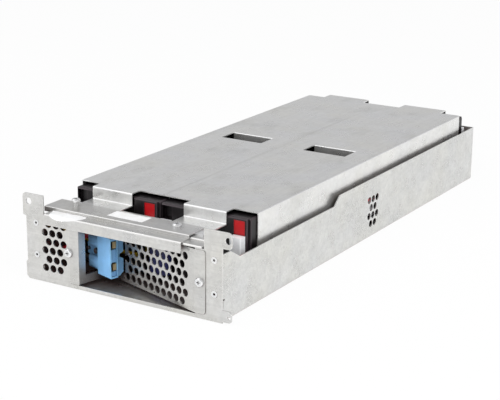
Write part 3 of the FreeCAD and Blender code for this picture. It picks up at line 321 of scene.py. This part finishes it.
# Battery cases: the lighter edges and rounded faces are mostly painted highlight, a little wear.
battery_black = plastic("battery_black", (0.009, 0.007, 0.008), 0.34, 1500, wear_and_sheen=11.0, deep=0.5,
                        rub_and_sheen=0.8, folded=0.4, shine=0.36)
for node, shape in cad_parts.items():
    for place in shape.material_slots:
        place.material = FINISHES.get(node, battery_black)


# ---------------------------------------------------------------- blank labels
PLATE_LEFT = 7.8 * MM                       # from the tray's left side to the plate's
PLATE_DROP = 2.7 * MM                       # from the plate's back half down to its front half
PLATE_FOLD = 1.5 * MM                       # outer radius of the fold above its hanging band
FLAT_LABEL_BACK = 19.2 * MM                 # from the plate's nose to the rear label
PAPER_THICK = 0.12 * MM
PAPER_LIFT = 0.02 * MM                      # of a label above the sheet
COLUMNS = 12


def label_white():
    """White label stock: faint fibres and a few slightly yellowed spots."""
    paint = Paint("label_white")
    fibres = paint.noise(2200, 4.0)
    smudges = paint.noise(120, 3.0)
    stock = paint.tint(fibres, (0.93, 0.93, 0.94), (0.97, 0.97, 0.97))
    dirt = paint.ramp(smudges, [(0.3, (0.93, 0.92, 0.90)), (0.55, WHITE)])
    paint.surface(Base_Color=paint.times(stock, dirt), Roughness=paint.vary(smudges, 0.48, 0.60),
                  Normal=paint.bump(fibres, 0.25, 0.06 * MM))
    return paint.material


def wrapped_label(name, path, ends, finish):
    """A thin label laid along a path of (y, z) points.

    Each of the ends is (distance along the path, left, right) in millimetres, the last two from
    the tray's left side, and the label's sides run straight from one to the next.
    """
    ends = [(distance * MM, tray_left + left * MM, tray_left + right * MM)
            for distance, left, right in ends]
    mesh = bmesh.new()
    rows = []
    done = 0.0
    for index, (y, z) in enumerate(path):
        if index:
            done += (Vector(path[index]) - Vector(path[index - 1])).length
        for low, high in zip(ends, ends[1:]):
            if low[0] <= done:
                share = min(1.0, (done - low[0]) / (high[0] - low[0]))
                left, right = (a + (b - a) * share for a, b in zip(low[1:], high[1:]))
        rows.append([mesh.verts.new((left + (right - left) * step / COLUMNS, y, z))
                     for step in range(COLUMNS + 1)])
    for low, high in zip(rows, rows[1:]):
        for step in range(COLUMNS):
            mesh.faces.new((low[step], low[step + 1], high[step + 1], high[step]))
    bmesh.ops.recalc_face_normals(mesh, faces=mesh.faces)
    data = bpy.data.meshes.new(name)
    mesh.to_mesh(data)
    mesh.free()
    if data.polygons[0].normal.z + data.polygons[-1].normal.z < 0:
        data.flip_normals()
    piece = bpy.data.objects.new(name, data)
    bpy.context.collection.objects.link(piece)
    stock = piece.modifiers.new("stock", "SOLIDIFY")
    stock.thickness = PAPER_THICK
    stock.offset = 1.0
    data.materials.append(finish)
    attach(piece, "root")


plate_low, plate_high = (Vector(corner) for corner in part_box("top_plate"))
tray_left = plate_low.x - PLATE_LEFT
nose, plate_top = plate_low.y, plate_high.z
shelf_top = plate_top - PLATE_DROP
fold_middle_y, fold_middle_z = nose + PLATE_FOLD, shelf_top - PLATE_FOLD
paper = label_white()

up_the_band = [(nose - PAPER_LIFT, fold_middle_z - (2.2 - 0.22 * step) * MM) for step in range(10)]
over_the_fold = [(fold_middle_y - (PLATE_FOLD + PAPER_LIFT) * math.cos(turn),
                  fold_middle_z + (PLATE_FOLD + PAPER_LIFT) * math.sin(turn))
                 for turn in (math.radians(15 * step) for step in range(7))]
along_the_shelf = [(fold_middle_y + 0.5 * step * MM, shelf_top + PAPER_LIFT)
                   for step in range(1, 22)]
oval = [(0, 31, 35), (0.5, 28, 38.5), (1.4, 25.3, 43), (2.7, 23.4, 48.5), (4.1, 22.2, 52.5),
        (7, 21, 55), (10.5, 19.8, 55.8), (13, 18.9, 55.5), (16, 18.4, 53.5)]
wrapped_label("shelf_label", up_the_band + over_the_fold + along_the_shelf, oval, paper)

back_half = [(nose + FLAT_LABEL_BACK + 1.2 * step * MM, plate_top + PAPER_LIFT)
             for step in range(13)]
wrapped_label("plate_label", back_half, [(0, 70.6, 107), (15, 70.6, 107)], paper)


# ---------------------------------------------------------------- camera
CAMERA_SPOT = Vector((673.82, -1157.43, 428.23)) * MM
YAW, PITCH, ROLL = math.radians(-31.357), math.radians(16.806), math.radians(0.476)
look = Vector((math.sin(YAW) * math.cos(PITCH), math.cos(YAW) * math.cos(PITCH),
               -math.sin(PITCH)))
side = Vector((math.cos(YAW), -math.sin(YAW), 0))
up = side.cross(look)
turned_side = side * math.cos(ROLL) + up * math.sin(ROLL)
turned_up = up * math.cos(ROLL) - side * math.sin(ROLL)
camera_data = bpy.data.cameras.new("camera")
camera_data.lens = 101.885
camera_data.sensor_width = 36.0
camera_data.clip_end = 20.0
camera = bpy.data.objects.new("camera", camera_data)
axes = Matrix((turned_side, turned_up, -look)).transposed()
camera.matrix_world = Matrix.Translation(CAMERA_SPOT) @ axes.to_4x4()
bpy.context.collection.objects.link(camera)
bpy.context.scene.camera = camera
bpy.context.scene.view_settings.view_transform = "Standard"


# ---------------------------------------------------------------- floor and sky
FLOOR_REACH = 6.0
FLOOR_DROP = 0.4 * MM                       # keeps the floor clear of the tray's underside
FLOOR_WHITE, SKY_WHITE = 0.95, 1.0          # how much of the white is seen directly
SKY_LIGHT = 0.38
# the sky that is seen directly, by the height of the line of sight
HAZE = [(0.02, 0.95), (0.24, (0.58, 0.58, 0.59)), (0.5, (0.42, 0.42, 0.43))]


def backdrop(name):
    """A pale surface that the camera and reflections see as white."""
    material = bpy.data.materials.new(name)
    material.use_nodes = True
    nodes = Nodes(material.node_tree)
    base = nodes.fed("ShaderNodeBsdfDiffuse", [("Color", grey(0.93))])
    glow = nodes.fed("ShaderNodeEmission", [("Color", WHITE), ("Strength", 1.0)])
    nodes.finish(nodes.seen_directly(FLOOR_WHITE), base, glow, "ShaderNodeOutputMaterial")
    return material


corners = ((-FLOOR_REACH, -FLOOR_REACH, 0), (FLOOR_REACH, -FLOOR_REACH, 0),
           (FLOOR_REACH, FLOOR_REACH, 0), (-FLOOR_REACH, FLOOR_REACH, 0))
floor_mesh = bpy.data.meshes.new("floor")
floor_mesh.from_pydata(corners, [], [(0, 1, 2, 3)])
floor_mesh.materials.append(backdrop("floor_pale"))
floor = bpy.data.objects.new("floor", floor_mesh)
floor.location.z = -FLOOR_DROP
bpy.context.collection.objects.link(floor)

world = bpy.data.worlds.new("studio")
bpy.context.scene.world = world
world.use_nodes = True
sky = Nodes(world.node_tree)
height = sky.split((sky.add("ShaderNodeTexCoord"), "Generated"))
soft = sky.fed("ShaderNodeBackground", [("Color", (0.97, 0.98, 1.0)), ("Strength", SKY_LIGHT)])
white = sky.fed("ShaderNodeBackground", [("Color", sky.ramp((height, "Z"), HAZE)),
                                         ("Strength", 1.0)])
sky.finish(sky.seen_directly(SKY_WHITE), soft, white, "ShaderNodeOutputWorld")


# ---------------------------------------------------------------- lamps
def lamp(name, spot, target, wide, power, mirrored=True):
    """A round soft box; one that is not mirrored lights the sheet without a hot spot on it."""
    data = bpy.data.lights.new(name, "AREA")
    data.shape = "DISK"
    data.size = wide
    data.energy = power
    thing = bpy.data.objects.new(name, data)
    thing.location = spot
    aim = Vector(target) - Vector(spot)
    thing.rotation_euler = aim.to_track_quat("-Z", "Y").to_euler()
    thing.visible_glossy = mirrored
    bpy.context.collection.objects.link(thing)


lamp("key", (2.2, -0.6, 1.4), (0, 0, 0.03), wide=2.0, power=38, mirrored=False)
lamp("front", (0.4, -2.0, 1.6), (0, -0.1, 0.03), wide=1.6, power=26, mirrored=False)
lamp("low", (-1.1, -2.2, 0.9), (0, -0.2, 0.03), wide=2.2, power=6)
lamp("overhead", (-0.9, -0.5, 1.5), (0, 0, 0.03), wide=1.5, power=5.5)
